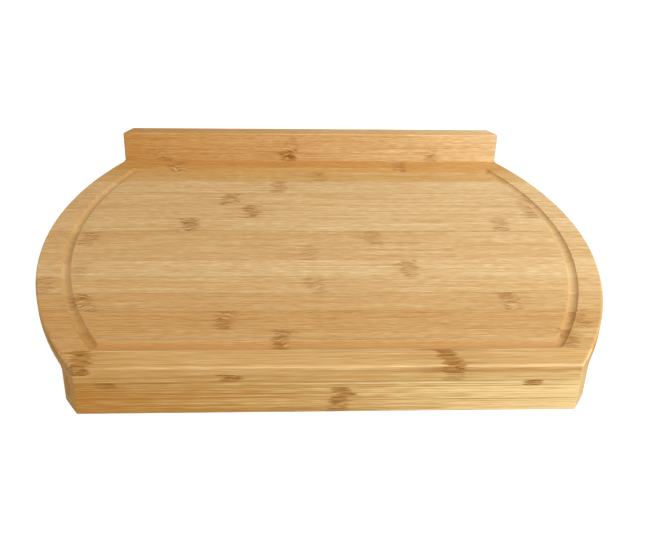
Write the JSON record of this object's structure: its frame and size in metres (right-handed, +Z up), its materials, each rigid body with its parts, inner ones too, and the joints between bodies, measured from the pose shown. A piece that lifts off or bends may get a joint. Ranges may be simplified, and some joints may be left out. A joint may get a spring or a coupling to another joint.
{
  "type": "cutting board",
  "caption": "Bamboo cutting board with bulged sides and a juice groove, a stop rail along the back and a lip along the front that hooks over a worktop edge.",
  "frame": {"origin": "middle of the board's underside, which lies on the worktop", "axes": "+X along the strips, +Y from the front lip to the back rail, +Z up"},
  "size_m": [0.45, 0.35, 0.0665],
  "materials": {
    "board_bamboo": "flat-laid carbonised bamboo strips under a satin lacquer",
    "rail_bamboo": "flat-laid carbonised bamboo strips under a satin lacquer",
    "lip_bamboo": "upright bamboo strips under a satin lacquer",
    "dowel_wood": "bare beech"
  },
  "bodies": {
    "root": {"bottom_strip_01": "board_bamboo", "bottom_strip_02": "board_bamboo", "bottom_strip_03": "board_bamboo", "bottom_strip_04": "board_bamboo", "bottom_strip_05": "board_bamboo", "bottom_strip_06": "board_bamboo", "bottom_strip_07": "board_bamboo", "bottom_strip_08": "board_bamboo", "bottom_strip_09": "board_bamboo", "bottom_strip_10": "board_bamboo", "bottom_strip_11": "board_bamboo", "bottom_strip_12": "board_bamboo", "bottom_strip_13": "board_bamboo", "bottom_strip_14": "board_bamboo", "bottom_strip_15": "board_bamboo", "lip_back_lower_strip": "lip_bamboo", "lip_back_upper_strip": "lip_bamboo", "lip_dowels": "dowel_wood", "lip_front_lower_strip": "lip_bamboo", "lip_front_upper_strip": "lip_bamboo", "lip_middle_lower_strip": "lip_bamboo", "lip_middle_upper_strip": "lip_bamboo", "rail_back_lower_strip": "rail_bamboo", "rail_back_upper_strip": "rail_bamboo", "rail_dowels": "dowel_wood", "rail_front_lower_strip": "rail_bamboo", "rail_front_upper_strip": "rail_bamboo", "top_strip_01": "board_bamboo", "top_strip_02": "board_bamboo", "top_strip_03": "board_bamboo", "top_strip_04": "board_bamboo", "top_strip_05": "board_bamboo", "top_strip_06": "board_bamboo", "top_strip_07": "board_bamboo", "top_strip_08": "board_bamboo", "top_strip_09": "board_bamboo", "top_strip_10": "board_bamboo", "top_strip_11": "board_bamboo", "top_strip_12": "board_bamboo", "top_strip_13": "board_bamboo", "top_strip_14": "board_bamboo", "top_strip_15": "board_bamboo"}
  },
  "joints": []
}
